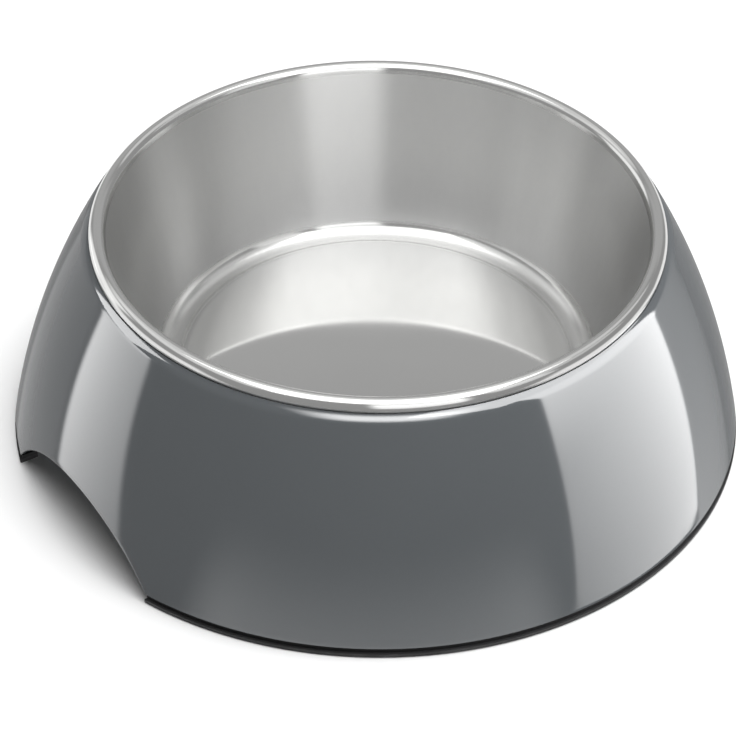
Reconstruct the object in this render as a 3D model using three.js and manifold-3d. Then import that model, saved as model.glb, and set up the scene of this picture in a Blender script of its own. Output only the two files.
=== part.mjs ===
// A pet food bowl. A stainless steel bowl with a rolled rim hangs loose in the round opening of a
// domed melamine base. The base's lower edge has two arched hand cut-outs, one at each end of X,
// and stands on two curved rubber strips, one along the front and one along the rear.
// Millimetres, +Z up. The origin is on the table, at the middle of the base.

import * as THREE from 'three';
import { mergeVertices } from 'three/addons/utils/BufferGeometryUtils.js';
import Module from 'manifold-3d';

// Steel bowl, drawn from one sheet
const RIM_RADIUS = 84.9; // outside of the rolled rim
const RIM_ROLL_RADIUS = 2.4; // outside of the roll, in section
const SHEET = 0.8;
const BOWL_DEPTH = 52.5; // from the top of the rim to the channel round the floor
const WALL_DRAFT = THREE.MathUtils.degToRad(16.4); // lean of the wall out of the vertical
const FLOOR_ROUND = 5; // inside radius between wall and channel
const CHANNEL_WIDTH = 0.4; // flat bottom of the channel
const FLOOR_RISE = 1.5; // flat middle of the floor, above the channel
const STEP_ROUND = 3.75; // both rounds of the step up from the channel
const ROLL_SLIT = 0.6; // between the rolled edge and the outside of the wall

// Melamine base, a shell of one thickness
const FOOT_RADIUS = 110; // the dome's outside, carried on down to the table
const SEAT_HEIGHT = 67.4; // flat seat that the rim rests on
const LIP_RISE = 2.1; // crest of the lip's round, above the seat
const DOME_BULGE_RADIUS = 211; // the dome's side, in section
const SHELL_WALL = 3.2;
const LIP_ROUND = 6; // outside of the lip
const LIP_INNER_ROUND = 1.3; // inside of the lip
const LIP_INSET = 0.32; // middle of the lip's round, inside the middle of the roll
const OPENING_ROUND = 1; // edge of the round opening
const SHELL_FOOT_WIDTH = 5.6; // lower edge of the shell, across

// Hand cut-outs
const ARCH_WIDTH = 72.4; // between the corners, along the shell's lower edge
const ARCH_HEIGHT = 20.8; // crown, above the table

// Rubber strips, each with a tongue in a groove of the shell's lower edge
const STRIP_HEIGHT = 3.3;
const STRIP_INSET = 0.2; // outside face, inside the line of the dome
const STRIP_INNER_INSET = 0.4; // inside face, outside the shell's inner face
const STRIP_EDGE_ROUND = 0.6; // lower outside edge
const SHADOW_LINE_HEIGHT = 1.4; // set-back band along the top of the strip
const SHADOW_LINE_DEPTH = 0.9;
const GROOVE_WIDTH = 2.4;
const GROOVE_DEPTH = 4;
const GROOVE_END_LAND = 5; // solid length of edge between the groove and a cut-out's corner

// Clearances
const RIM_CLEARANCE = 0.3; // under the roll
const RECESS_CLEARANCE = 0.3; // round the roll, to the edge of the lip
const OPENING_CLEARANCE = 0.7; // around the wall, in the round opening
const STRIP_CLEARANCE = 0.3; // between rubber and shell, on every side

// Facets
const ROUND_STEPS = 64;
const ARCH_STEPS = 80;
const DOME_STEPS = 8;
const LIP_STEPS = 5;
const ROLL_STEPS = 12;
const FLOOR_ROUND_STEPS = 5;
const STEP_STEPS = 3;
const SMALL_ROUND_STEPS = 2;

const UP = Math.PI / 2;
const wasm = await Module();
wasm.setup();

// Points of a section are (distance from the axis, height)
const at = (radius, height) => new THREE.Vector2(radius, height);

const polar = (centre, radius, angle) =>
  at(centre.x + radius * Math.cos(angle), centre.y + radius * Math.sin(angle));

const arc = (centre, radius, from, to, steps) =>
  Array.from({ length: steps + 1 }, (_, i) => polar(centre, radius, from + ((to - from) * i) / steps));

const closed = (outline) => [...outline, outline[0]];

const rectangle = (inner, outer, low, high) =>
  closed([at(inner, low), at(outer, low), at(outer, high), at(inner, high)]);

// A section turned once about +Z
const revolve = (section) => new THREE.LatheGeometry(section, ROUND_STEPS).rotateX(UP);

const toSolid = (geometry) => {
  geometry.deleteAttribute('normal');
  geometry.deleteAttribute('uv');
  const merged = mergeVertices(geometry);
  return new wasm.Manifold(
    new wasm.Mesh({
      numProp: 3,
      vertProperties: merged.attributes.position.array,
      triVerts: Uint32Array.from(merged.index.array),
    }),
  );
};

const toGeometry = (solid) => {
  const { vertProperties, triVerts } = solid.getMesh();
  const geometry = new THREE.BufferGeometry();
  geometry.setAttribute('position', new THREE.BufferAttribute(vertProperties, 3));
  geometry.setIndex(new THREE.BufferAttribute(triVerts, 1));
  return geometry;
};

// Everything on one side of the base, from a given distance along Y outwards
const sideBlock = (side, distance) => {
  const size = 4 * FOOT_RADIUS;
  const block = new THREE.BoxGeometry(size, size, size);
  return toSolid(block.translate(0, side * (distance + size / 2), 0));
};

// Steel bowl: the sheet runs along the raised floor, down a step of two equal rounds into a channel,
// up the wall, and out and round into the rim.
// Angles are those of the sheet's inside face, which turns to the outside of the roll.
const rollCentre = at(RIM_RADIUS - RIM_ROLL_RADIUS, SEAT_HEIGHT + RIM_CLEARANCE + RIM_ROLL_RADIUS);
const rollStart = Math.PI - WALL_DRAFT;
const rollEnd =
  rollStart - 2 * Math.PI + Math.acos((RIM_ROLL_RADIUS - SHEET - ROLL_SLIT) / RIM_ROLL_RADIUS);
const channelHeight = rollCentre.y + RIM_ROLL_RADIUS - BOWL_DEPTH;
const floorHeight = channelHeight + FLOOR_RISE;
const wallTop = polar(rollCentre, RIM_ROLL_RADIUS, rollStart);
const wallLength =
  (wallTop.y - channelHeight - FLOOR_ROUND * (1 - Math.sin(WALL_DRAFT))) / Math.cos(WALL_DRAFT);
const floorRoundCentre = at(
  wallTop.x - wallLength * Math.sin(WALL_DRAFT) - FLOOR_ROUND * Math.cos(WALL_DRAFT),
  channelHeight + FLOOR_ROUND,
);
const stepTurn = Math.acos(1 - FLOOR_RISE / (2 * STEP_ROUND));
const stepFootCentre = at(floorRoundCentre.x - CHANNEL_WIDTH, channelHeight + STEP_ROUND);
const stepTopCentre = polar(stepFootCentre, 2 * STEP_ROUND, -UP - stepTurn);

const wallOutsideAt = (height) => {
  const top = polar(rollCentre, RIM_ROLL_RADIUS - SHEET, rollStart);
  return top.x - (top.y - height) * Math.tan(WALL_DRAFT);
};

const makeSteelBowl = () =>
  revolve([
    at(0, floorHeight - SHEET),
    ...arc(stepTopCentre, STEP_ROUND - SHEET, UP, UP - stepTurn, STEP_STEPS),
    ...arc(stepFootCentre, STEP_ROUND + SHEET, -UP - stepTurn, -UP, STEP_STEPS).slice(1),
    ...arc(floorRoundCentre, FLOOR_ROUND + SHEET, -UP, -WALL_DRAFT, FLOOR_ROUND_STEPS),
    ...arc(rollCentre, RIM_ROLL_RADIUS - SHEET, rollStart, rollEnd, ROLL_STEPS),
    ...arc(rollCentre, RIM_ROLL_RADIUS, rollEnd, rollStart, ROLL_STEPS),
    ...arc(floorRoundCentre, FLOOR_ROUND, -WALL_DRAFT, -UP, FLOOR_ROUND_STEPS),
    ...arc(stepFootCentre, STEP_ROUND, -UP, -UP - stepTurn, STEP_STEPS),
    ...arc(stepTopCentre, STEP_ROUND, UP - stepTurn, UP, STEP_STEPS).slice(1),
    at(0, floorHeight),
  ]);

// Dome: an arc from the table's edge of the foot, tangent to the round of the lip.
// The seat lies in a shallow recess of the lip, which the roll fills.
const lipCentre = at(rollCentre.x - LIP_INSET, SEAT_HEIGHT + LIP_RISE - LIP_ROUND);
const recessRadius = RIM_RADIUS + RECESS_CLEARANCE;
const lipEnd = Math.acos((recessRadius - lipCentre.x) / LIP_ROUND);

const tangentArcCentre = (start, touched, touchedRadius, radius) => {
  const chord = touched.clone().sub(start);
  const length = chord.length();
  const along = (radius ** 2 - (radius - touchedRadius) ** 2 + length ** 2) / (2 * length);
  const across = Math.sqrt(radius ** 2 - along ** 2);
  chord.divideScalar(length);
  return at(
    start.x + along * chord.x - across * chord.y,
    start.y + along * chord.y + across * chord.x,
  );
};

const domeCentre = tangentArcCentre(at(FOOT_RADIUS, 0), lipCentre, LIP_ROUND, DOME_BULGE_RADIUS);
const domeTop = lipCentre.clone().sub(domeCentre).angle();
const shellBottom = STRIP_HEIGHT + STRIP_CLEARANCE;
const domeBottom = Math.asin((shellBottom - domeCentre.y) / DOME_BULGE_RADIUS);
const footOuterRadius = polar(domeCentre, DOME_BULGE_RADIUS, domeBottom).x;
const footInnerRadius = footOuterRadius - SHELL_FOOT_WIDTH;
const openingRadius = wallOutsideAt(SEAT_HEIGHT) + OPENING_CLEARANCE;

const shellSection = () => {
  const innerRadius = DOME_BULGE_RADIUS - SHELL_WALL;
  const innerBottom = Math.acos((footInnerRadius - domeCentre.x) / innerRadius);
  const openingRoundCentre = at(openingRadius + OPENING_ROUND, SEAT_HEIGHT - OPENING_ROUND);
  const ceiling = SEAT_HEIGHT - SHELL_WALL;
  const innerTop = Math.asin((ceiling - LIP_INNER_ROUND - domeCentre.y) / (innerRadius - LIP_INNER_ROUND));
  const innerLipCentre = polar(domeCentre, innerRadius - LIP_INNER_ROUND, innerTop);
  return closed([
    ...arc(domeCentre, DOME_BULGE_RADIUS, domeBottom, domeTop, DOME_STEPS),
    ...arc(lipCentre, LIP_ROUND, domeTop, lipEnd, LIP_STEPS).slice(1),
    at(recessRadius, SEAT_HEIGHT),
    ...arc(openingRoundCentre, OPENING_ROUND, UP, Math.PI, SMALL_ROUND_STEPS),
    at(openingRadius, ceiling),
    ...arc(innerLipCentre, LIP_INNER_ROUND, UP, innerTop, SMALL_ROUND_STEPS),
    ...arc(domeCentre, innerRadius, innerTop, innerBottom, DOME_STEPS).slice(1),
    at(footInnerRadius, shellBottom),
  ]);
};

// Both hand cut-outs are one round cut, straight through along X
const archCut = () => {
  const halfWidth = ARCH_WIDTH / 2;
  const rise = ARCH_HEIGHT - shellBottom;
  const radius = (halfWidth ** 2 + rise ** 2) / (2 * rise);
  const cut = new THREE.CylinderGeometry(radius, radius, 4 * FOOT_RADIUS, ARCH_STEPS);
  return toSolid(cut.rotateZ(UP).translate(0, 0, ARCH_HEIGHT - radius));
};

// Groove and tongue share one middle line and stop short of the cut-outs
const grooveMiddle = (footInnerRadius + footOuterRadius) / 2;
const grooveTop = shellBottom + GROOVE_DEPTH;
const grooveEnd = ARCH_WIDTH / 2 + GROOVE_END_LAND;

const makeBaseShell = () => {
  const below = shellBottom - STRIP_CLEARANCE;
  const halfWidth = GROOVE_WIDTH / 2;
  const section = rectangle(grooveMiddle - halfWidth, grooveMiddle + halfWidth, below, grooveTop);
  const groove = toSolid(revolve(section));
  const front = groove.intersect(sideBlock(-1, grooveEnd));
  const rear = groove.intersect(sideBlock(1, grooveEnd));
  const shell = toSolid(revolve(shellSection())).subtract(archCut());
  return toGeometry(shell.subtract(front).subtract(rear));
};

const stripSection = () => {
  const inner = footInnerRadius + STRIP_INNER_INSET;
  const outer = FOOT_RADIUS - STRIP_INSET;
  const shadowLine = STRIP_HEIGHT - SHADOW_LINE_HEIGHT;
  const edgeCentre = at(outer - STRIP_EDGE_ROUND, STRIP_EDGE_ROUND);
  return closed([
    at(inner, 0),
    ...arc(edgeCentre, STRIP_EDGE_ROUND, -UP, 0, SMALL_ROUND_STEPS),
    at(outer, shadowLine),
    at(outer - SHADOW_LINE_DEPTH, shadowLine),
    at(outer - SHADOW_LINE_DEPTH, STRIP_HEIGHT),
    at(inner, STRIP_HEIGHT),
  ]);
};

// One strip, from cut-out to cut-out, on the front (-1) or the rear (1)
const makeFootStrip = (side) => {
  const halfWidth = GROOVE_WIDTH / 2 - STRIP_CLEARANCE;
  const top = grooveTop - STRIP_CLEARANCE;
  const root = STRIP_HEIGHT / 2;
  const section = rectangle(grooveMiddle - halfWidth, grooveMiddle + halfWidth, root, top);
  const tongue = toSolid(revolve(section)).intersect(sideBlock(side, grooveEnd + STRIP_CLEARANCE));
  const band = toSolid(revolve(stripSection())).intersect(sideBlock(side, ARCH_WIDTH / 2));
  return toGeometry(band.add(tongue));
};

const MELAMINE = { color: 0x55595c, roughness: 0.16, metalness: 0 };
const STEEL = { color: 0xb4b6b6, roughness: 0.24, metalness: 1 };
const RUBBER = { color: 0x1b1c1d, roughness: 0.8, metalness: 0 };

const group = new THREE.Group();

const addPiece = (name, geometry, finish) => {
  const mesh = new THREE.Mesh(geometry, new THREE.MeshStandardMaterial(finish));
  mesh.name = name;
  group.add(mesh);
};

addPiece('steel_bowl', makeSteelBowl(), STEEL);
addPiece('base_shell', makeBaseShell(), MELAMINE);
addPiece('front_foot_strip', makeFootStrip(-1), RUBBER);
addPiece('rear_foot_strip', makeFootStrip(1), RUBBER);

export default group;
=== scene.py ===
"""Dressed model of a pet bowl.

A drawn steel insert lies in a domed melamine base, which stands on two rubber foot strips.
"""

import logging
import math
from collections.abc import Iterable
from dataclasses import dataclass, field
from enum import Enum
from typing import Any

import bmesh
import bpy
from mathutils import Matrix, Quaternion, Vector


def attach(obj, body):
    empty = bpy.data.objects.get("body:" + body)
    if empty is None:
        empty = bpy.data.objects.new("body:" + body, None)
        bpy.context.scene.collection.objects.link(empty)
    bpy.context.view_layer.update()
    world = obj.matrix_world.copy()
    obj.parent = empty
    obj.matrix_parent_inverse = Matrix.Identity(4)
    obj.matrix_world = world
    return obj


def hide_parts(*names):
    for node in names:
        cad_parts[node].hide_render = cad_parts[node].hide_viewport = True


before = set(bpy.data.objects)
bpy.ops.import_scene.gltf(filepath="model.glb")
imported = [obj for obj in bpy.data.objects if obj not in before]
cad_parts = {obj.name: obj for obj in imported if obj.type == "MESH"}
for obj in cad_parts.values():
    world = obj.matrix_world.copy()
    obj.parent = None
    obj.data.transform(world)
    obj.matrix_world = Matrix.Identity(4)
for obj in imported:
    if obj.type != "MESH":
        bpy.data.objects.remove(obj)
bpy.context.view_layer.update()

LOG = logging.getLogger("pet_bowl")
Colour = tuple[float, float, float]

MM = 0.001
UP = Vector((0.0, 0.0, 1.0))
CENTRE = Vector((0.0, 0.0, 0.0))
SECTION_AXIS = Vector((0.0, -1.0, 0.0))
FULL_TURN = 360.0
HALF_TURN = 180.0
QUARTER_TURN = 90.0
# Points nearer than TOUCH are one point after a turn. SLIVER is the finer limit.
TOUCH = 1e-6
SLIVER = 1e-7
# Angle in degrees from which an edge is shaded sharp.
CREASE = 38.0
# Middle of a noise that runs from 0 to 1.
NOISE_MIDDLE = 0.5
# Angle in degrees of the camera's side, from the front towards +X.
CAMERA_AZIMUTH = -33.7


class Body(Enum):
    """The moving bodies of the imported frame."""

    BASE = "base"
    BOWL = "bowl"


class Slot(Enum):
    """The record's material slots."""

    STEEL = "steel"
    MELAMINE = "melamine"
    RUBBER = "rubber"


@dataclass(frozen=True)
class Wire:
    """A node's output that takes part in Python expressions."""

    sheet: "NodeSheet"
    socket: bpy.types.NodeSocket | None

    def _math(self, operation: str, first: Any, second: Any) -> "Wire":
        """Adds the Math node of one operator.

        Args:
            operation: Name of the Math node's operation.
            first: Left operand, a wire or a number.
            second: Right operand, a wire or a number.

        Returns:
            The wire of the result.
        """
        return self.sheet.add("ShaderNodeMath", {"operation": operation}, {0: first, 1: second})

    def __add__(self, other: "Wire | float") -> "Wire":
        """Sum."""
        return self._math("ADD", self, other)

    def __radd__(self, other: float) -> "Wire":
        """Reflected sum."""
        return self._math("ADD", other, self)

    def __sub__(self, other: "Wire | float") -> "Wire":
        """Difference."""
        return self._math("SUBTRACT", self, other)

    def __rsub__(self, other: float) -> "Wire":
        """Reflected difference."""
        return self._math("SUBTRACT", other, self)

    def __mul__(self, other: "Wire | float") -> "Wire":
        """Product."""
        return self._math("MULTIPLY", self, other)

    def __rmul__(self, other: float) -> "Wire":
        """Reflected product."""
        return self._math("MULTIPLY", other, self)

    def __truediv__(self, other: "Wire | float") -> "Wire":
        """Quotient."""
        return self._math("DIVIDE", self, other)

    def __rtruediv__(self, other: float) -> "Wire":
        """Reflected quotient."""
        return self._math("DIVIDE", other, self)

    def __pow__(self, other: "Wire | float") -> "Wire":
        """Power."""
        return self._math("POWER", self, other)

    def __rpow__(self, other: float) -> "Wire":
        """Reflected power."""
        return self._math("POWER", other, self)


@dataclass(frozen=True)
class Grain:
    """A noise pattern: grains per unit, octaves and the share that each octave keeps."""

    scale: float
    detail: float = 2.0
    rough: float = 0.5


class NodeSheet:
    """A node tree that is filled by Python expressions."""

    def __init__(self, tree: bpy.types.NodeTree) -> None:
        """Takes a tree and empties it.

        Args:
            tree: Node tree of a material, a lamp or the world.
        """
        self.tree = tree
        tree.nodes.clear()

    def add(
        self,
        kind: str,
        settings: dict[str, Any] | None = None,
        inputs: dict[int | str, Any] | None = None,
        output: int | str = 0,
    ) -> Wire:
        """Adds one node.

        Args:
            kind: Node type's identifier.
            settings: Properties of the node, set before its sockets.
            inputs: Values or wires by socket name or number.
            output: Name or number of the output that is wanted.

        Returns:
            The wire of that output.
        """
        node = self.tree.nodes.new(kind)
        for key, value in (settings or {}).items():
            setattr(node, key, value)
        for key, value in (inputs or {}).items():
            if isinstance(value, Wire):
                self.tree.links.new(value.socket, node.inputs[key])
            else:
                node.inputs[key].default_value = value
        return Wire(self, node.outputs[output] if len(node.outputs) else None)

    def place(self) -> tuple[Wire, Wire, Wire, Wire]:
        """Object coordinates in metres.

        Returns:
            The point itself, then its x, y and z.
        """
        point = self.add("ShaderNodeTexCoord", output="Object")
        axes = self.add("ShaderNodeSeparateXYZ", inputs={0: point})
        return point, axes, self.twin(axes, 1), self.twin(axes, 2)

    def twin(self, wire: Wire, output: int | str) -> Wire:
        """Another output of the node that a wire comes from."""
        return Wire(self, wire.socket.node.outputs[output])

    def vector(self, x: Any, y: Any, z: Any) -> Wire:
        """A vector of three values or wires."""
        return self.add("ShaderNodeCombineXYZ", inputs={0: x, 1: y, 2: z})

    def noise(self, point: Wire, grain: Grain) -> Wire:
        """Noise from 0 to 1.

        Args:
            point: Coordinates.
            grain: Pattern of the noise.

        Returns:
            The wire of the noise.
        """
        sizes = {"Scale": grain.scale, "Detail": grain.detail, "Roughness": grain.rough}
        return self.add("ShaderNodeTexNoise", inputs={"Vector": point, **sizes})

    def step(
        self, value: Wire, low: float, high: float, first: float = 0.0, last: float = 1.0
    ) -> Wire:
        """A smooth step of a value.

        Args:
            value: Wire that is tested.
            low: Value where the step starts.
            high: Value where it ends.
            first: Result before the step.
            last: Result after it.

        Returns:
            The wire of the result.
        """
        return self.add(
            "ShaderNodeMapRange",
            {"interpolation_type": "SMOOTHSTEP"},
            {0: value, 1: low, 2: high, 3: first, 4: last},
        )

    def plateau(self, value: Wire, fade: float) -> Wire:
        """A level of 1 that fades out at both ends of a value from 0 to 1."""
        return self.step(value, 0.0, fade) * self.step(value, 1.0 - fade, 1.0, 1.0, 0.0)

    def tint(self, share: Wire, first: Colour, last: Colour) -> Wire:
        """A colour between two, by a share from 0 to 1."""
        # The Mix node's colours are its sockets 6 and 7, and their mix is its output 2.
        colours = {0: share, 6: (*first, 1.0), 7: (*last, 1.0)}
        return self.add("ShaderNodeMix", {"data_type": "RGBA"}, colours, output=2)

    def relief(self, height: Wire, depth: float) -> Wire:
        """A bump of a height from 0 to 1, at a depth in metres."""
        sizes = {"Strength": 1.0, "Distance": depth}
        return self.add("ShaderNodeBump", inputs={**sizes, "Height": height})


class Finish:
    """What all finishes share: a material with one shader and its sheet of nodes."""

    name: str

    def material(self) -> bpy.types.Material:
        """Makes the material.

        Returns:
            The material, with its nodes.
        """
        material = bpy.data.materials.new(self.name)
        material.use_nodes = True
        sheet = NodeSheet(material.node_tree)
        shader = sheet.add("ShaderNodeBsdfPrincipled", inputs=self.sockets(sheet))
        sheet.add("ShaderNodeOutputMaterial", inputs={"Surface": shader})
        return material

    def sockets(self, sheet: NodeSheet) -> dict[str, Any]:
        """The shader's values and wires by socket name."""
        raise NotImplementedError


@dataclass(frozen=True)
class BrushedSteel(Finish):
    """Stainless sheet: wall brushed round the bowl and made darker low down by painted shade, floor
    and rim polished.
    """

    name: str = "brushed_steel"
    bright: Colour = (0.72, 0.72, 0.71)
    # The darker end of the tint: the steel's own tone, which varies at random, and also the painted
    # shade low on the wall.
    dull_and_shaded: Colour = (0.54, 0.54, 0.545)
    wall_radius: float = 66.5 * MM
    wall_high: float = 69.5 * MM
    wall_blend: float = 1.0 * MM
    rim_blend: float = 0.8 * MM
    ring_radius: float = 56.0 * MM
    ring_inner_blend: float = 1.5 * MM
    ring_outer_blend: float = 1.0 * MM
    wall_roughness: float = 0.315
    floor_roughness: float = 0.055
    ring_roughness: float = 0.22
    rim_roughness: float = 0.12
    brushing: float = 0.92
    brushing_turn: float = 0.25
    hairline: Grain = Grain(scale=2.2, detail=3.0, rough=0.6)
    hairline_pitch: float = 900.0
    hairline_roughness: float = 0.03
    streak: Grain = Grain(scale=26.0, rough=0.55)
    streak_pitch: float = 6.0
    streak_roughness: float = 0.04
    streak_shade: float = 0.15
    turning: Grain = Grain(scale=1.0)
    turning_pitch: float = 1500.0
    turning_drift: float = 8.0
    turning_relief: float = 0.25
    wear: Grain = Grain(scale=35.0, detail=4.0, rough=0.6)
    wear_roughness: float = 0.02
    fine_shade: float = 0.083
    # Share of painted shade at the foot of the wall, and the heights over which it fades to none.
    painted_foot_shade: float = 0.45
    painted_shade_low: float = 24.0 * MM
    painted_shade_high: float = 52.0 * MM
    relief_depth: float = 0.0008 * MM

    def zones(self, sheet: NodeSheet, radius: Wire, z: Wire) -> tuple[Wire, Wire, Wire]:
        """Masks of the insert's parts.

        Args:
            sheet: The material's sheet of nodes.
            radius: Distance from the bowl's axis.
            z: Height.

        Returns:
            The masks of the wall, the floor and the floor's outer ring.
        """
        wall_foot = self.wall_radius - self.wall_blend
        below_rim = sheet.step(z, self.wall_high, self.wall_high + self.rim_blend, 1.0, 0.0)
        wall = sheet.step(radius, wall_foot, self.wall_radius) * below_rim
        floor = sheet.step(radius, wall_foot - self.wall_blend, wall_foot, 1.0, 0.0)
        ring_start = self.ring_radius - self.ring_inner_blend
        ring_full = self.ring_radius + self.ring_outer_blend
        return wall, floor, floor * sheet.step(radius, ring_start, ring_full)

    def sockets(self, sheet: NodeSheet) -> dict[str, Any]:
        """The shader's values and wires by socket name."""
        point, x, y, z = sheet.place()
        radius = (x * x + y * y) ** 0.5
        east, north = x / radius, y / radius
        hairline_at = sheet.vector(east, north, z * self.hairline_pitch)
        hairline = sheet.noise(hairline_at, self.hairline)
        streak_at = sheet.vector(east, north, z * self.streak_pitch)
        streak = sheet.noise(streak_at, self.streak)
        drift = self.turning_drift
        turned_at = sheet.vector(radius * self.turning_pitch, x * drift, y * drift)
        turned = sheet.noise(turned_at, self.turning)
        worn = sheet.noise(point, self.wear)
        wall, floor, ring = self.zones(sheet, radius, z)
        roughness = self.rim_roughness + floor * (self.floor_roughness - self.rim_roughness)
        roughness = roughness + ring * (self.ring_roughness - self.floor_roughness)
        roughness = roughness + wall * (self.wall_roughness - self.rim_roughness)
        roughness = roughness + wall * (hairline - NOISE_MIDDLE) * self.hairline_roughness
        roughness = roughness + wall * (streak - NOISE_MIDDLE) * self.streak_roughness
        roughness = roughness + (worn - NOISE_MIDDLE) * self.wear_roughness
        shade = (hairline * wall + turned * floor + worn) * self.fine_shade
        shade = shade + streak * wall * self.streak_shade
        # Painted shade: the wall, inside and out, gets darker towards its foot, standing in for the
        # shade and dim reflections low in the bowl.
        shade = shade + wall * sheet.step(z, self.painted_shade_low, self.painted_shade_high, self.painted_foot_shade, 0.0)
        height = hairline * wall + turned * floor * self.turning_relief
        return {
            "Base Color": sheet.tint(shade, self.bright, self.dull_and_shaded),
            "Metallic": 1.0,
            "Roughness": roughness,
            "Anisotropic": self.brushing,
            "Anisotropic Rotation": self.brushing_turn,
            "Normal": sheet.relief(height, self.relief_depth),
        }


@dataclass(frozen=True)
class GlossMelamine(Finish):
    """Moulded melamine with a hard gloss, faintly clouded and rubbed in patches near its foot."""

    name: str = "gloss_melamine"
    body: Colour = (0.088, 0.096, 0.103)
    cloud: Colour = (0.100, 0.108, 0.115)
    gloss: float = 0.075
    index: float = 1.6
    clouding: Grain = Grain(scale=18.0, detail=4.0, rough=0.55)
    specks: Grain = Grain(scale=900.0)
    smears: Grain = Grain(scale=60.0, detail=3.0, rough=0.6)
    cloud_share: float = 0.7
    speck_share: float = 0.3
    smear_roughness: float = 0.03
    rub_low: float = 4.0 * MM
    rub_high: float = 12.0 * MM
    rub_from: float = 0.5
    rub_full: float = 0.75
    rub_roughness: float = 0.10
    cloud_relief: float = 0.6
    speck_relief: float = 0.006
    relief_depth: float = 0.02 * MM

    def sockets(self, sheet: NodeSheet) -> dict[str, Any]:
        """The shader's values and wires by socket name."""
        point, _, _, z = sheet.place()
        cloud = sheet.noise(point, self.clouding)
        speck = sheet.noise(point, self.specks)
        smear = sheet.noise(point, self.smears)
        low = sheet.step(z, self.rub_low, self.rub_high, 1.0, 0.0)
        rubbed = low * sheet.step(smear, self.rub_from, self.rub_full)
        shade = cloud * self.cloud_share + speck * self.speck_share
        roughness = self.gloss + (smear - NOISE_MIDDLE) * self.smear_roughness
        height = cloud * self.cloud_relief + speck * self.speck_relief
        return {
            "Base Color": sheet.tint(shade, self.body, self.cloud),
            "Roughness": roughness + rubbed * self.rub_roughness,
            "IOR": self.index,
            "Normal": sheet.relief(height, self.relief_depth),
        }


@dataclass(frozen=True)
class MattRubber(Finish):
    """Black moulded rubber with a fine grain and a grey band above the floor, partly scuffs in
    patches and partly painted light from the floor.
    """

    name: str = "matt_rubber"
    body: Colour = (0.004, 0.004, 0.0045)
    # The grey of the low band: scuffs, and painted light from the bright floor.
    scuff_and_floor_light: Colour = (0.075, 0.075, 0.076)
    roughness: float = 0.62
    specular: float = 0.2
    moulding: Grain = Grain(scale=2600.0, detail=3.0, rough=0.6)
    moulding_roughness: float = 0.25
    rubbing: Grain = Grain(scale=140.0, detail=4.0, rough=0.65)
    rub_from: float = 0.3
    rub_full: float = 0.8
    # Share of grey that the whole low band keeps, which is painted floor light; the rubbing noise
    # adds scuffs above it.
    painted_light_share: float = 0.45
    rub_roughness: float = 0.1
    # Heights where the grey band of scuffs and painted floor light fades out.
    scuff_and_light_low: float = 1.1 * MM
    scuff_and_light_high: float = 1.6 * MM
    relief_depth: float = 0.05 * MM

    def sockets(self, sheet: NodeSheet) -> dict[str, Any]:
        """The shader's values and wires by socket name."""
        point, _, _, z = sheet.place()
        moulded = sheet.noise(point, self.moulding)
        rub = sheet.noise(point, self.rubbing)
        # Painted light: the band near the floor is grey all along, standing in for the bright
        # floor's light on the strip, with scuffs in patches from the rubbing noise.
        low = sheet.step(z, self.scuff_and_light_low, self.scuff_and_light_high, 1.0, 0.0)
        worn = low * sheet.step(rub, self.rub_from, self.rub_full, self.painted_light_share, 1.0)
        roughness = self.roughness + (moulded - NOISE_MIDDLE) * self.moulding_roughness
        return {
            "Base Color": sheet.tint(worn, self.body, self.scuff_and_floor_light),
            "Roughness": roughness + worn * self.rub_roughness,
            "Specular IOR Level": self.specular,
            "Normal": sheet.relief(moulded, self.relief_depth),
        }


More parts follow.
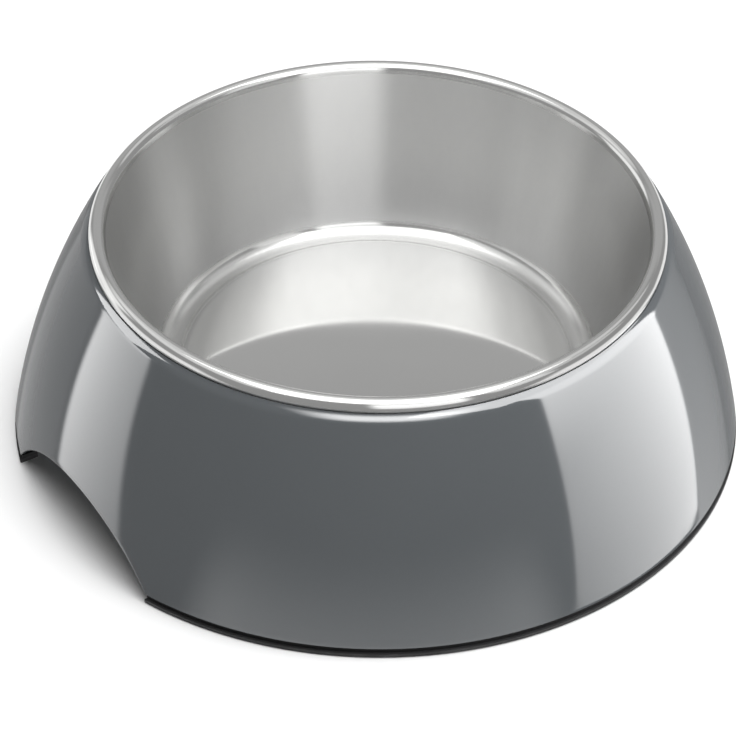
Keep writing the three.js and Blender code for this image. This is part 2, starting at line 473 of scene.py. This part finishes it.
class SectionPen:
    """Draws a half section in the X-Z plane with straight runs and arcs, then turns it about Z."""

    def __init__(self, radius: float, height: float) -> None:
        """Starts a section.

        Args:
            radius: Distance of the first point from the bowl's axis.
            height: Its height.
        """
        self.mesh = bmesh.new()
        self.tip = self.mesh.verts.new((radius, 0.0, height))
        self.first = self.tip

    def line(self, radius: float, height: float, runs: int = 1) -> None:
        """Draws a straight run.

        Args:
            radius: Radius of its end.
            height: Height of its end.
            runs: Number of pieces it is drawn in.
        """
        step = (Vector((radius, 0.0, height)) - self.tip.co) / runs
        for _ in range(runs):
            grown = bmesh.ops.extrude_vert_indiv(self.mesh, verts=[self.tip])
            self.tip = grown["verts"][0]
            bmesh.ops.translate(self.mesh, verts=[self.tip], vec=step)

    def arc(self, radius: float, height: float, sweep: float, steps: int) -> None:
        """Draws an arc round a centre.

        Args:
            radius: Radius of the arc's centre from the axis.
            height: Height of that centre.
            sweep: Angle in degrees, counter-clockwise seen with +X right and +Z up.
            steps: Number of facets.
        """
        swung = bmesh.ops.spin(
            self.mesh,
            geom=[self.tip],
            cent=(radius, 0.0, height),
            axis=SECTION_AXIS,
            angle=math.radians(sweep),
            steps=steps,
        )
        ends = [item for item in swung["geom_last"] if isinstance(item, bmesh.types.BMVert)]
        self.tip = ends[0]

    def close(self) -> "SectionPen":
        """Joins the last point to the first."""
        self.mesh.edges.new((self.tip, self.first))
        return self

    def turn(self, stops: Iterable[tuple[float, int]], start: float = 0.0) -> bmesh.types.BMesh:
        """Turns the section about Z.

        Args:
            stops: Angle in degrees and number of steps of each part of the turn.
            start: Angle in degrees where the turn starts.

        Returns:
            The turned mesh.
        """
        bmesh.ops.rotate(
            self.mesh,
            verts=self.mesh.verts[:],
            cent=CENTRE,
            matrix=Matrix.Rotation(math.radians(start), 3, "Z"),
        )
        rim = self.mesh.verts[:] + self.mesh.edges[:]
        total = 0.0
        for angle, steps in stops:
            turned = bmesh.ops.spin(
                self.mesh,
                geom=rim,
                cent=CENTRE,
                axis=UP,
                angle=math.radians(angle),
                steps=steps,
                use_merge=math.isclose(angle, FULL_TURN),
            )
            rim = turned["geom_last"]
            total += angle
        if math.isclose(total, FULL_TURN):
            bmesh.ops.remove_doubles(self.mesh, verts=self.mesh.verts[:], dist=TOUCH)
            bmesh.ops.dissolve_degenerate(self.mesh, edges=self.mesh.edges[:], dist=SLIVER)
        bmesh.ops.recalc_face_normals(self.mesh, faces=self.mesh.faces[:])
        return self.mesh


def finish_piece(
    name: str, mesh: bmesh.types.BMesh, finish: Finish, body: Body, node: str
) -> bpy.types.Object:
    """Makes a piece of the object from its mesh.

    Args:
        name: Piece's name.
        mesh: Its bmesh, which is freed.
        finish: Finish that it is dressed in.
        body: Body that it rides on.
        node: CAD node that it stands for.

    Returns:
        The object.
    """
    data = bpy.data.meshes.new(name)
    for face in mesh.faces:
        face.smooth = True
    mesh.to_mesh(data)
    mesh.free()
    data.set_sharp_from_angle(angle=math.radians(CREASE))
    piece = bpy.data.objects.new(name, data)
    bpy.context.scene.collection.objects.link(piece)
    data.materials.append(finish.material())
    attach(piece, body.value)
    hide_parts(node)
    LOG.info("%s: %d faces", name, len(data.polygons))
    return piece


@dataclass
class SteelBowl:
    """The drawn insert: raised floor in a channel, leaning wall and a hollow rolled rim."""

    rim_radius: float = 84.9 * MM
    roll_radius: float = 2.4 * MM
    roll_height: float = 70.1 * MM
    roll_slit: float = 0.6 * MM
    sheet: float = 0.8 * MM
    channel_height: float = 20.0 * MM
    channel_width: float = 0.4 * MM
    floor_rise: float = 1.5 * MM
    step_round: float = 3.75 * MM
    floor_round: float = 5.0 * MM
    draft: float = 16.4
    facets: int = 256
    floor_runs: int = 20
    step_facets: int = 12
    channel_runs: int = 2
    round_facets: int = 14
    wall_runs: int = 40
    roll_facets: int = 44
    roll_inner_facets: int = 32
    outer_wall_runs: int = 16
    outer_round_facets: int = 10
    under_step_facets: int = 8
    under_floor_runs: int = 8

    def section(self) -> SectionPen:
        """Draws the sheet's section from the axis, up the inside and back down the outside.

        Returns:
            The pen with the section.
        """
        lean = math.radians(self.draft)
        away = Vector((math.cos(lean), -math.sin(lean)))
        roll = Vector((self.rim_radius - self.roll_radius, self.roll_height))
        wall_top = roll - away * self.roll_radius
        round_height = self.channel_height + self.floor_round
        drop = wall_top.y - (round_height - self.floor_round * math.sin(lean))
        round_radius = wall_top.x - drop * math.tan(lean) - self.floor_round * math.cos(lean)
        round_at = Vector((round_radius, round_height))
        wall_foot = round_at + away * (self.floor_round + self.sheet)
        quarter = QUARTER_TURN - self.draft
        roll_gap = (self.roll_radius - self.sheet - self.roll_slit) / self.roll_radius
        roll_sweep = FULL_TURN - math.degrees(math.acos(roll_gap))
        step = math.acos(1.0 - self.floor_rise / (2.0 * self.step_round))
        sweep = math.degrees(step)
        step_foot = Vector((round_at.x - self.channel_width, self.channel_height + self.step_round))
        step_top = step_foot - Vector((math.sin(step), math.cos(step))) * 2.0 * self.step_round
        floor_height = self.channel_height + self.floor_rise
        pen = SectionPen(0.0, floor_height)
        pen.line(step_top.x, floor_height, self.floor_runs)
        pen.arc(*step_top, -sweep, self.step_facets)
        pen.arc(*step_foot, sweep, self.step_facets)
        pen.line(round_at.x, self.channel_height, self.channel_runs)
        pen.arc(*round_at, quarter, self.round_facets)
        pen.line(*wall_top, self.wall_runs)
        pen.arc(*roll, -roll_sweep, self.roll_facets)
        roll_end = Vector((pen.tip.co.x, pen.tip.co.z))
        inner_end = roll + (roll_end - roll) * (1.0 - self.sheet / self.roll_radius)
        pen.line(*inner_end)
        pen.arc(*roll, roll_sweep, self.roll_inner_facets)
        pen.line(*wall_foot, self.outer_wall_runs)
        pen.arc(*round_at, -quarter, self.outer_round_facets)
        pen.line(step_foot.x, self.channel_height - self.sheet, self.channel_runs)
        pen.arc(*step_foot, -sweep, self.under_step_facets)
        pen.arc(*step_top, sweep, self.under_step_facets)
        pen.line(0.0, floor_height - self.sheet, self.under_floor_runs)
        return pen

    def build(self, finish: Finish) -> bpy.types.Object:
        """Turns the section and dresses it."""
        mesh = self.section().turn([(FULL_TURN, self.facets)])
        return finish_piece("steel_bowl_skin", mesh, finish, Body.BOWL, "steel_bowl")


@dataclass
class MelamineBase:
    """The moulded shell: domed, with a recessed lip, two arched cut-outs and a grooved foot."""

    foot_height: float = 3.0 * MM
    dome_radius: float = 211.0 * MM
    dome_centre: tuple[float, float] = (-98.28 * MM, -33.76 * MM)
    lip_centre: tuple[float, float] = (82.18 * MM, 63.5 * MM)
    lip_round: float = 6.0 * MM
    lip_inner_round: float = 1.3 * MM
    recess_radius: float = 84.75 * MM
    recess_round: float = 0.1 * MM
    seat_height: float = 67.4 * MM
    wall: float = 3.2 * MM
    opening_radius: float = 80.74 * MM
    opening_round: float = 1.0 * MM
    foot_inner_radius: float = 103.78 * MM
    arch_radius: float = 46.69 * MM
    arch_centre: float = -25.89 * MM
    arch_half_width: float = 36.68 * MM
    arch_tries: int = 16
    groove_radius: float = 106.58 * MM
    groove_half_width: float = 1.2 * MM
    groove_top: float = 7.6 * MM
    groove_end: float = 41.2 * MM
    groove_end_angle: float = 0.12
    steady_height: float = 9.0 * MM
    still_height: float = 52.0 * MM
    edge_round: float = 0.35 * MM
    inner_edge_round: float = 0.5 * MM
    edge_facets: int = 4
    dome_facets: int = 44
    lip_facets: int = 14
    recess_facets: int = 6
    seat_runs: int = 2
    opening_facets: int = 6
    ceiling_runs: int = 2
    inner_lip_facets: int = 8
    inner_dome_facets: int = 24
    inner_foot_runs: int = 6
    arch_columns: int = 36
    lead_columns: int = 2
    side_columns: int = 100

    def skin_radius(self, height: float, share: float) -> float:
        """Radius of a layer of the wall.

        Args:
            height: Height above the floor.
            share: Depth in the wall, 0 at the outside and 1 at the inside.

        Returns:
            The layer's radius.
        """
        across, low = self.dome_centre
        rise = height - low
        inner_radius = self.dome_radius - self.wall
        outer = across + math.sqrt(max(self.dome_radius**2 - rise**2, 0.0))
        inner = across + math.sqrt(max(inner_radius**2 - rise**2, 0.0))
        return outer + (min(inner, self.foot_inner_radius) - outer) * share

    def edge_height(self, angle: float, share: float) -> float:
        """Height of the lower edge, raised by the arched cut-outs.

        Args:
            angle: Angle round the axis from +X.
            share: Depth in the wall.

        Returns:
            Height of the edge there.
        """
        height = self.foot_height
        for _ in range(self.arch_tries):
            across = abs(self.skin_radius(height, share) * math.sin(angle))
            if across >= self.arch_half_width - SLIVER:
                return self.foot_height
            height = self.arch_centre + math.sqrt(self.arch_radius**2 - across**2)
        return height

    def section(self) -> SectionPen:
        """Draws the shell's section from the outer foot, over the lip and down the inside.

        Returns:
            The pen with the section.
        """
        dome = Vector(self.dome_centre)
        lip = Vector(self.lip_centre)
        low = math.asin((self.foot_height - dome.y) / self.dome_radius)
        high = math.atan2(lip.y - dome.y, lip.x - dome.x)
        edge_out = self.recess_radius + self.recess_round - lip.x
        edge_reach = self.lip_round - self.recess_round
        lip_end = math.acos(edge_out / edge_reach)
        edge = lip + Vector((edge_out, edge_reach * math.sin(lip_end)))
        seat = self.seat_height
        ceiling = seat - self.wall
        round_start = self.opening_radius + self.opening_round
        inner_radius = self.dome_radius - self.wall
        round_reach = inner_radius - self.lip_inner_round
        inner_high = math.asin((ceiling - self.lip_inner_round - dome.y) / round_reach)
        inner_lip = dome + Vector((math.cos(inner_high), math.sin(inner_high))) * round_reach
        knee = math.acos((self.foot_inner_radius - dome.x) / inner_radius)
        groove_inner = self.groove_radius - self.groove_half_width
        groove_outer = self.groove_radius + self.groove_half_width
        pen = SectionPen(self.skin_radius(self.foot_height, 0.0), self.foot_height)
        pen.arc(*dome, math.degrees(high - low), self.dome_facets)
        pen.arc(*lip, math.degrees(lip_end - high), self.lip_facets)
        pen.arc(*edge, HALF_TURN - math.degrees(lip_end), self.recess_facets)
        pen.line(self.recess_radius, seat)
        pen.line(round_start, seat, self.seat_runs)
        pen.arc(round_start, seat - self.opening_round, QUARTER_TURN, self.opening_facets)
        pen.line(self.opening_radius, ceiling)
        pen.line(inner_lip.x, ceiling, self.ceiling_runs)
        pen.arc(*inner_lip, math.degrees(inner_high) - QUARTER_TURN, self.inner_lip_facets)
        pen.arc(*dome, math.degrees(knee - inner_high), self.inner_dome_facets)
        pen.line(self.foot_inner_radius, self.foot_height, self.inner_foot_runs)
        pen.line(groove_inner, self.foot_height)
        pen.line(groove_inner, self.groove_top)
        pen.line(groove_outer, self.groove_top)
        pen.line(groove_outer, self.foot_height)
        return pen.close()

    def stops(self) -> tuple[float, list[tuple[float, int]]]:
        """Parts of the turn, with columns of faces at the ends of the cut-outs and the grooves.

        Returns:
            Start angle in degrees, then the angle and the number of steps of each part.
        """
        foot_radius = self.skin_radius(self.foot_height, 0.0)
        outer = math.degrees(math.asin(self.arch_half_width / foot_radius))
        inner = math.degrees(math.asin(self.arch_half_width / self.foot_inner_radius))
        groove = math.degrees(math.asin(self.groove_end / self.groove_radius))
        end = self.groove_end_angle
        lead = [(inner - outer, 1), (groove - end - inner, self.lead_columns), (end, 1)]
        side = (HALF_TURN - 2.0 * groove, self.side_columns)
        half = [(2.0 * outer, self.arch_columns), *lead, side, *lead[::-1]]
        return -outer, half + half

    def in_closed_groove(self, radius: float, angle: float, height: float) -> bool:
        """Whether a point of the groove lies where the foot has none.

        Args:
            radius: The point's distance from the axis.
            angle: Its angle round the axis from +X.
            height: Its height.

        Returns:
            True where the groove is closed.
        """
        if abs(radius - self.groove_radius) >= self.groove_half_width + TOUCH:
            return False
        across = abs(self.groove_radius * math.sin(angle))
        return height < self.groove_top + TOUCH and across < self.groove_end - TOUCH

    def cut_arches(self, mesh: bmesh.types.BMesh) -> None:
        """Slides the lower wall up along its own curve, so that its edge follows the cut-outs.

        Args:
            mesh: The turned shell, which is changed.
        """
        for vert in mesh.verts:
            x, y, height = vert.co
            if height >= self.still_height:
                continue
            radius, angle = math.hypot(x, y), math.atan2(y, x)
            if self.in_closed_groove(radius, angle, height):
                height = self.foot_height
            outer, inner = self.skin_radius(height, 0.0), self.skin_radius(height, 1.0)
            share = min(max((outer - radius) / (outer - inner), 0.0), 1.0)
            lift = self.edge_height(angle, share) - self.foot_height
            fade = (self.still_height - height) / (self.still_height - self.steady_height)
            raised = height + lift * min(fade, 1.0)
            radius += self.skin_radius(raised, share) - self.skin_radius(height, share)
            vert.co = (radius * math.cos(angle), radius * math.sin(angle), raised)

    def edges_at(self, mesh: bmesh.types.BMesh, radius: float) -> list[bmesh.types.BMEdge]:
        """Edges of the foot that run round at a radius.

        Args:
            mesh: The turned shell, with its points numbered.
            radius: Distance of the edges from the axis.

        Returns:
            The edges.
        """
        low = [abs(v.co.z - self.foot_height) < SLIVER for v in mesh.verts]
        near = [abs(v.co.xy.length - radius) < TOUCH for v in mesh.verts]
        return [e for e in mesh.edges if all(low[v.index] and near[v.index] for v in e.verts)]

    def build(self, finish: Finish) -> bpy.types.Object:
        """Builds the shell.

        The section is turned, its foot is cut to the arches, the points that fall together where
        the groove is closed are merged, and the lower edges are rounded.

        Args:
            finish: Finish that it is dressed in.

        Returns:
            The shell.
        """
        start, stops = self.stops()
        mesh = self.section().turn(stops, start)
        mesh.verts.index_update()
        outer_edge = self.edges_at(mesh, self.skin_radius(self.foot_height, 0.0))
        inner_edge = self.edges_at(mesh, self.foot_inner_radius)
        self.cut_arches(mesh)
        bmesh.ops.remove_doubles(mesh, verts=mesh.verts[:], dist=SLIVER)
        for edges, size in ((outer_edge, self.edge_round), (inner_edge, self.inner_edge_round)):
            bmesh.ops.bevel(
                mesh,
                geom=edges,
                offset=size,
                affect="EDGES",
                segments=self.edge_facets,
                profile=0.5,
                material=-1,
                clamp_overlap=True,
            )
        return finish_piece("base_shell_skin", mesh, finish, Body.BASE, "base_shell")


class Side(Enum):
    """The two foot strips, by the angle of their middle."""

    FRONT = -90.0
    REAR = 90.0


@dataclass
class FootStrip:
    """A rubber strip under the foot: a shadow line at its top, a tongue in the foot's groove."""

    side: Side
    inner_radius: float = 104.18 * MM
    outer_radius: float = 109.7 * MM
    height: float = 2.7 * MM
    shadow_height: float = 1.2 * MM
    shadow_radius: float = 108.9 * MM
    edge_round: float = 0.6 * MM
    tongue_radius: float = 106.58 * MM
    tongue_half_width: float = 0.9 * MM
    tongue_top: float = 7.3 * MM
    tongue_end: float = 41.5 * MM
    tongue_end_angle: float = 0.12
    flat_end: float = 41.084 * MM
    end_across: float = 36.68 * MM
    end_spare_angle: float = 2.0
    foot_runs: int = 2
    edge_facets: int = 5
    lead_columns: int = 3
    side_columns: int = 100

    def section(self) -> SectionPen:
        """Draws the strip's section from its inner foot, round the outside and over the tongue.

        Returns:
            The pen with the section.
        """
        step = self.height - self.shadow_height
        round_start = self.outer_radius - self.edge_round
        tongue_inner = self.tongue_radius - self.tongue_half_width
        tongue_outer = self.tongue_radius + self.tongue_half_width
        pen = SectionPen(self.inner_radius, 0.0)
        pen.line(round_start, 0.0, self.foot_runs)
        pen.arc(round_start, self.edge_round, QUARTER_TURN, self.edge_facets)
        pen.line(self.outer_radius, step)
        pen.line(self.shadow_radius, step)
        pen.line(self.shadow_radius, self.height)
        pen.line(tongue_outer, self.height)
        pen.line(tongue_outer, self.tongue_top)
        pen.line(tongue_inner, self.tongue_top)
        pen.line(tongue_inner, self.height)
        pen.line(self.inner_radius, self.height)
        return pen.close()

    def turned(self) -> bmesh.types.BMesh:
        """Turns the section a little past both ends and flattens the tongue near them.

        Returns:
            The mesh, open at its ends.
        """
        tongue = math.degrees(math.asin(self.tongue_end / self.tongue_radius))
        trim = math.degrees(math.asin(self.end_across / self.outer_radius))
        reach = trim - self.end_spare_angle
        end = self.tongue_end_angle
        lead = [(tongue - end - reach, self.lead_columns), (end, 1)]
        stops = [*lead, (HALF_TURN - 2.0 * tongue, self.side_columns), *lead[::-1]]
        mesh = self.section().turn(stops, self.side.value - QUARTER_TURN + reach)
        for vert in mesh.verts:
            if vert.co.z > self.height + SLIVER and abs(vert.co.y) < self.flat_end:
                vert.co.z = self.height
        return mesh

    def build(self, finish: Finish) -> bpy.types.Object:
        """Builds the strip: trims the turned mesh at the cut-outs and closes its ends.

        Args:
            finish: Finish that it is dressed in.

        Returns:
            The strip.
        """
        mesh = self.turned()
        outward = math.copysign(1.0, self.side.value)
        bmesh.ops.bisect_plane(
            mesh,
            geom=mesh.verts[:] + mesh.edges[:] + mesh.faces[:],
            dist=SLIVER,
            plane_co=(0.0, outward * self.end_across, 0.0),
            plane_no=(0.0, -outward, 0.0),
            clear_outer=True,
        )
        bmesh.ops.remove_doubles(mesh, verts=mesh.verts[:], dist=TOUCH)
        ends = [e for e in mesh.edges if e.is_boundary]
        bmesh.ops.holes_fill(mesh, edges=ends, sides=0)
        bmesh.ops.recalc_face_normals(mesh, faces=mesh.faces[:])
        node = f"{self.side.name.lower()}_foot_strip"
        return finish_piece(f"{node}_skin", mesh, finish, Body.BASE, node)


def bearing(azimuth: float, elevation: float) -> Vector:
    """Direction from the bowl to a place in the studio.

    Args:
        azimuth: Angle in degrees from the camera's side, to the right where it is positive.
        elevation: Angle in degrees above the floor.

    Returns:
        The direction, one unit long.
    """
    turn, rise = math.radians(CAMERA_AZIMUTH + azimuth), math.radians(elevation)
    level = math.cos(rise)
    return Vector((math.sin(turn) * level, -math.cos(turn) * level, math.sin(rise)))


def looking(direction: Vector, roll: float) -> Quaternion:
    """Turn of a lamp or a camera that looks in a direction, rolled about it by some degrees."""
    return direction.to_track_quat("-Z", "Y") @ Quaternion(UP, math.radians(roll))


class Role(Enum):
    """What a lamp is for: general light, or a card that only the gloss of some pieces shows."""

    KEY = "key"
    SHELL_CARD = "shell card"
    STEEL_CARD = "steel card"


@dataclass(frozen=True)
class SoftBox:
    """A studio panel that faces the bowl, placed by its angles from the camera's side.

    Its edges fade, and its lower part and its side towards the camera can have another level.
    """

    name: str
    role: Role
    azimuth: float
    elevation: float
    width: float
    height: float
    radiance: float
    distance: float = 1.2
    side_fade: float = 0.1
    top_fade: float = 0.1
    low_share: float = 1.0
    low_reach: float = 0.5
    near_share: float = 1.0
    near_top: float = 0.7
    near_blend: float = 0.3
    roll: float = 0.0

    def level(self, sheet: NodeSheet) -> Wire:
        """Brightness over the panel.

        Args:
            sheet: The lamp's sheet of nodes.

        Returns:
            The wire of the brightness.
        """
        spot = sheet.add("ShaderNodeNewGeometry", output="Parametric")
        across = sheet.add("ShaderNodeSeparateXYZ", inputs={0: spot})
        along = sheet.twin(across, 1)
        level = sheet.plateau(across, self.side_fade) * sheet.plateau(along, self.top_fade)
        level = level * sheet.step(along, 0.0, self.low_reach, self.low_share, 1.0)
        from_near = across if self.azimuth > 0.0 else 1.0 - across
        graded = self.near_share + (1.0 - self.near_share) * from_near
        high = sheet.step(along, self.near_top - self.near_blend, self.near_top)
        return level * (graded + (1.0 - graded) * high)

    def build(self, target: Vector, receivers: bpy.types.Collection | None) -> None:
        """Makes the panel.

        Args:
            target: Point that it faces.
            receivers: Pieces that it lights, or nothing where it lights them all.
        """
        lamp = bpy.data.lights.new(self.name, "AREA")
        lamp.shape = "RECTANGLE"
        lamp.size, lamp.size_y = self.width, self.height
        lamp.energy = self.radiance * math.pi * self.width * self.height
        lamp.use_nodes = True
        sheet = NodeSheet(lamp.node_tree)
        light = sheet.add("ShaderNodeEmission", inputs={"Strength": self.level(sheet)})
        sheet.add("ShaderNodeOutputLight", inputs={"Surface": light})
        panel = bpy.data.objects.new(self.name, lamp)
        direction = bearing(self.azimuth, self.elevation)
        panel.location = target + direction * self.distance
        panel.rotation_mode = "QUATERNION"
        panel.rotation_quaternion = looking(-direction, self.roll)
        panel.visible_camera = False
        panel.visible_glossy = self.role is not Role.KEY
        panel.visible_diffuse = self.role is Role.KEY
        if receivers:
            panel.light_linking.receiver_collection = receivers
        bpy.context.scene.collection.objects.link(panel)
        LOG.info("%s", self.name)


PANELS = (
    SoftBox(
        "key_panel", Role.KEY, azimuth=95.0, elevation=77.0, distance=1.5,
        width=2.2, height=2.2, radiance=4.4,
    ),
    SoftBox(
        "right_card", Role.SHELL_CARD, azimuth=84.6, elevation=6.0,
        width=1.26, height=1.85, radiance=10.6, side_fade=0.02, top_fade=0.01,
        low_share=0.45, low_reach=0.60, near_share=0.42,
    ),
    SoftBox(
        "right_high_card", Role.SHELL_CARD, azimuth=85.0, elevation=61.0,
        width=1.5, height=0.80, radiance=9.0, side_fade=0.05, top_fade=0.05,
    ),
    SoftBox(
        "right_edge_card", Role.SHELL_CARD, azimuth=123.0, elevation=-14.0,
        width=0.52, height=1.2, radiance=0.12, side_fade=0.03,
        low_share=1.3, low_reach=0.6, near_share=9.5, near_top=1.4,
    ),
    SoftBox(
        "left_card", Role.SHELL_CARD, azimuth=-93.5, elevation=-14.0,
        width=0.67, height=1.44, radiance=6.2, side_fade=0.09, top_fade=0.02,
        low_share=0.12, low_reach=0.75, near_share=0.5, near_top=1.0, roll=7.0,
    ),
    SoftBox(
        "left_edge_card", Role.SHELL_CARD, azimuth=-129.0, elevation=-14.0,
        width=0.85, height=1.2, radiance=0.32,
    ),
    SoftBox(
        "left_high_card", Role.SHELL_CARD, azimuth=-107.0, elevation=30.5,
        width=0.58, height=0.58, radiance=8.0, side_fade=0.05, top_fade=0.02,
    ),
    SoftBox(
        "top_card", Role.SHELL_CARD, azimuth=4.0, elevation=57.0,
        width=1.2, height=0.97, radiance=12.0, side_fade=0.35, top_fade=0.4,
    ),
    SoftBox(
        "low_front_card", Role.SHELL_CARD, azimuth=0.0, elevation=-35.0,
        width=3.0, height=1.5, radiance=1.3, side_fade=0.2, top_fade=0.5,
    ),
    SoftBox(
        "near_ceiling_card", Role.STEEL_CARD, azimuth=0.0, elevation=58.0, distance=1.5,
        width=1.80, height=0.55, radiance=1.8, side_fade=0.03,
    ),
    SoftBox(
        "ceiling_card", Role.STEEL_CARD, azimuth=0.0, elevation=78.0, distance=1.5,
        width=1.80, height=0.55, radiance=2.5, side_fade=0.03,
    ),
    SoftBox(
        "far_ceiling_card", Role.STEEL_CARD, azimuth=180.0, elevation=82.0, distance=1.5,
        width=1.80, height=0.55, radiance=1.6, side_fade=0.03,
    ),
    SoftBox(
        "back_ceiling_card", Role.STEEL_CARD, azimuth=180.0, elevation=58.0, distance=1.5,
        width=1.80, height=0.75, radiance=0.43, side_fade=0.03,
    ),
    SoftBox(
        "left_side_card", Role.STEEL_CARD, azimuth=-90.0, elevation=50.0, distance=1.5,
        width=2.4, height=0.55, radiance=0.55, side_fade=0.15, top_fade=0.15,
    ),
    SoftBox(
        "right_side_card", Role.STEEL_CARD, azimuth=80.0, elevation=50.0, distance=1.5,
        width=1.6, height=0.55, radiance=0.33, side_fade=0.05, top_fade=0.15,
    ),
    SoftBox(
        "front_card", Role.STEEL_CARD, azimuth=15.5, elevation=7.5, distance=1.3,
        width=0.90, height=1.19, radiance=0.95, side_fade=0.15,
        low_share=0.2, low_reach=0.3,
    ),
    SoftBox(
        "high_front_card", Role.STEEL_CARD, azimuth=15.5, elevation=33.0, distance=1.3,
        width=0.76, height=0.7, radiance=0.80, side_fade=0.15, top_fade=0.15,
    ),
    SoftBox(
        "front_right_card", Role.STEEL_CARD, azimuth=55.0, elevation=33.0, distance=1.3,
        width=0.66, height=0.7, radiance=0.52, side_fade=0.2, top_fade=0.15,
    ),
    SoftBox(
        "left_wall_card", Role.STEEL_CARD, azimuth=-120.0, elevation=14.0, distance=1.3,
        width=0.9, height=1.0, radiance=0.8, side_fade=0.2, top_fade=0.2,
    ),
    SoftBox(
        "back_card", Role.STEEL_CARD, azimuth=180.0, elevation=-20.0, distance=1.6,
        width=6.0, height=1.6, radiance=0.7, top_fade=0.2,
    ),
    SoftBox(
        "far_card", Role.STEEL_CARD, azimuth=180.0, elevation=28.0, distance=1.6,
        width=2.4, height=0.9, radiance=0.13, side_fade=0.2, top_fade=0.2,
    ),
    SoftBox(
        "left_rim_card", Role.STEEL_CARD, azimuth=-90.0, elevation=-22.0, distance=1.3,
        width=1.6, height=1.3, radiance=0.7, side_fade=0.2, top_fade=0.2,
    ),
    SoftBox(
        "right_rim_card", Role.STEEL_CARD, azimuth=90.0, elevation=-22.0, distance=1.3,
        width=1.6, height=1.3, radiance=0.7, side_fade=0.2, top_fade=0.2,
    ),
)


@dataclass
class Studio:
    """Floor, lamps, world and camera."""

    target: Vector = field(default_factory=lambda: Vector((0.0, 0.0, 33.0 * MM)))
    aim: Vector = field(default_factory=lambda: Vector((-6.43 * MM, -5.13 * MM, 23.05 * MM)))
    distance: float = 1.1
    elevation: float = 38.205
    roll: float = 0.6
    lens: float = 179.42
    sensor: float = 36.0
    nearest: float = 0.05
    farthest: float = 50.0
    world_level: float = 0.06
    gloss_level: float = 0.45
    floor_size: float = 40.0
    floor_parts: int = 4
    floor_drop: float = 0.05 * MM
    floor_colour: Colour = (0.86, 0.86, 0.86)
    floor_near: float = 0.3
    floor_far: float = 0.8
    panels: tuple[SoftBox, ...] = PANELS

    def camera(self) -> None:
        """Sets the camera up at the photograph's angle."""
        data = bpy.data.cameras.new("camera")
        data.sensor_width = self.sensor
        data.lens = self.lens
        data.clip_start, data.clip_end = self.nearest, self.farthest
        camera = bpy.data.objects.new("camera", data)
        camera.location = self.target + bearing(0.0, self.elevation) * self.distance
        camera.rotation_mode = "QUATERNION"
        camera.rotation_quaternion = looking(self.aim - camera.location, self.roll)
        bpy.context.scene.collection.objects.link(camera)
        bpy.context.scene.camera = camera

    def paper(self) -> bpy.types.Material:
        """The floor's material: pale near the bowl, plain white far off and clear from below.

        Returns:
            The material, with its nodes.
        """
        material = bpy.data.materials.new("studio_floor")
        material.use_nodes = True
        sheet = NodeSheet(material.node_tree)
        _, x, y, _ = sheet.place()
        ray = sheet.add("ShaderNodeLightPath", output="Is Camera Ray")
        seen = ray + sheet.twin(ray, "Is Glossy Ray") + sheet.twin(ray, "Is Transmission Ray")
        white_share = seen * sheet.step((x * x + y * y) ** 0.5, self.floor_near, self.floor_far)
        paper = sheet.add("ShaderNodeBsdfDiffuse", inputs={"Color": (*self.floor_colour, 1.0)})
        white = sheet.add("ShaderNodeEmission", inputs={"Strength": 1.0})
        top = sheet.add("ShaderNodeMixShader", inputs={0: white_share, 1: paper, 2: white})
        below = sheet.add("ShaderNodeNewGeometry", output="Backfacing")
        clear = sheet.add("ShaderNodeBsdfTransparent")
        both = sheet.add("ShaderNodeMixShader", inputs={0: below, 1: top, 2: clear})
        sheet.add("ShaderNodeOutputMaterial", inputs={"Surface": both})
        return material

    def floor(self) -> None:
        """Lays the pale floor, which the gloss doesn't show."""
        mesh = bmesh.new()
        parts = self.floor_parts
        bmesh.ops.create_grid(mesh, x_segments=parts, y_segments=parts, size=self.floor_size / 2.0)
        bmesh.ops.translate(mesh, verts=mesh.verts[:], vec=-UP * self.floor_drop)
        data = bpy.data.meshes.new("studio_floor")
        mesh.to_mesh(data)
        mesh.free()
        data.materials.append(self.paper())
        floor = bpy.data.objects.new("studio_floor", data)
        floor.visible_glossy = False
        bpy.context.scene.collection.objects.link(floor)

    def sky(self) -> None:
        """Fills the studio with an even grey light, brighter in the gloss."""
        world = bpy.data.worlds.new("studio")
        world.use_nodes = True
        sheet = NodeSheet(world.node_tree)
        glossy = sheet.add("ShaderNodeLightPath", output="Is Glossy Ray")
        strength = self.world_level + glossy * (self.gloss_level - self.world_level)
        light = sheet.add("ShaderNodeBackground", inputs={"Strength": strength})
        sheet.add("ShaderNodeOutputWorld", inputs={"Surface": light})
        bpy.context.scene.world = world

    def receivers(self, name: str, pieces: Iterable[bpy.types.Object]) -> bpy.types.Collection:
        """Gathers the pieces that a lamp is kept for.

        Args:
            name: Name of the group.
            pieces: Pieces that go into it.

        Returns:
            The group.
        """
        group = bpy.data.collections.new(name)
        for piece in pieces:
            group.objects.link(piece)
        return group

    def build(self, shell: Iterable[bpy.types.Object], steel: Iterable[bpy.types.Object]) -> None:
        """Builds the studio.

        Args:
            shell: Pieces of the base.
            steel: Pieces of the steel insert.
        """
        self.camera()
        self.floor()
        self.sky()
        groups = {
            Role.SHELL_CARD: self.receivers("shell_light", shell),
            Role.STEEL_CARD: self.receivers("steel_light", steel),
        }
        for panel in self.panels:
            panel.build(self.target, groups.get(panel.role))
        bpy.context.scene.view_settings.view_transform = "Standard"


def main() -> None:
    """Builds the object's pieces in order, then the studio round them."""
    logging.basicConfig(level=logging.INFO, format="%(name)s: %(message)s")
    shell = [MelamineBase().build(GlossMelamine())]
    shell += [FootStrip(side).build(MattRubber()) for side in Side]
    steel = [SteelBowl().build(BrushedSteel())]
    Studio().build(shell, steel)


if __name__ == "__main__":
    main()
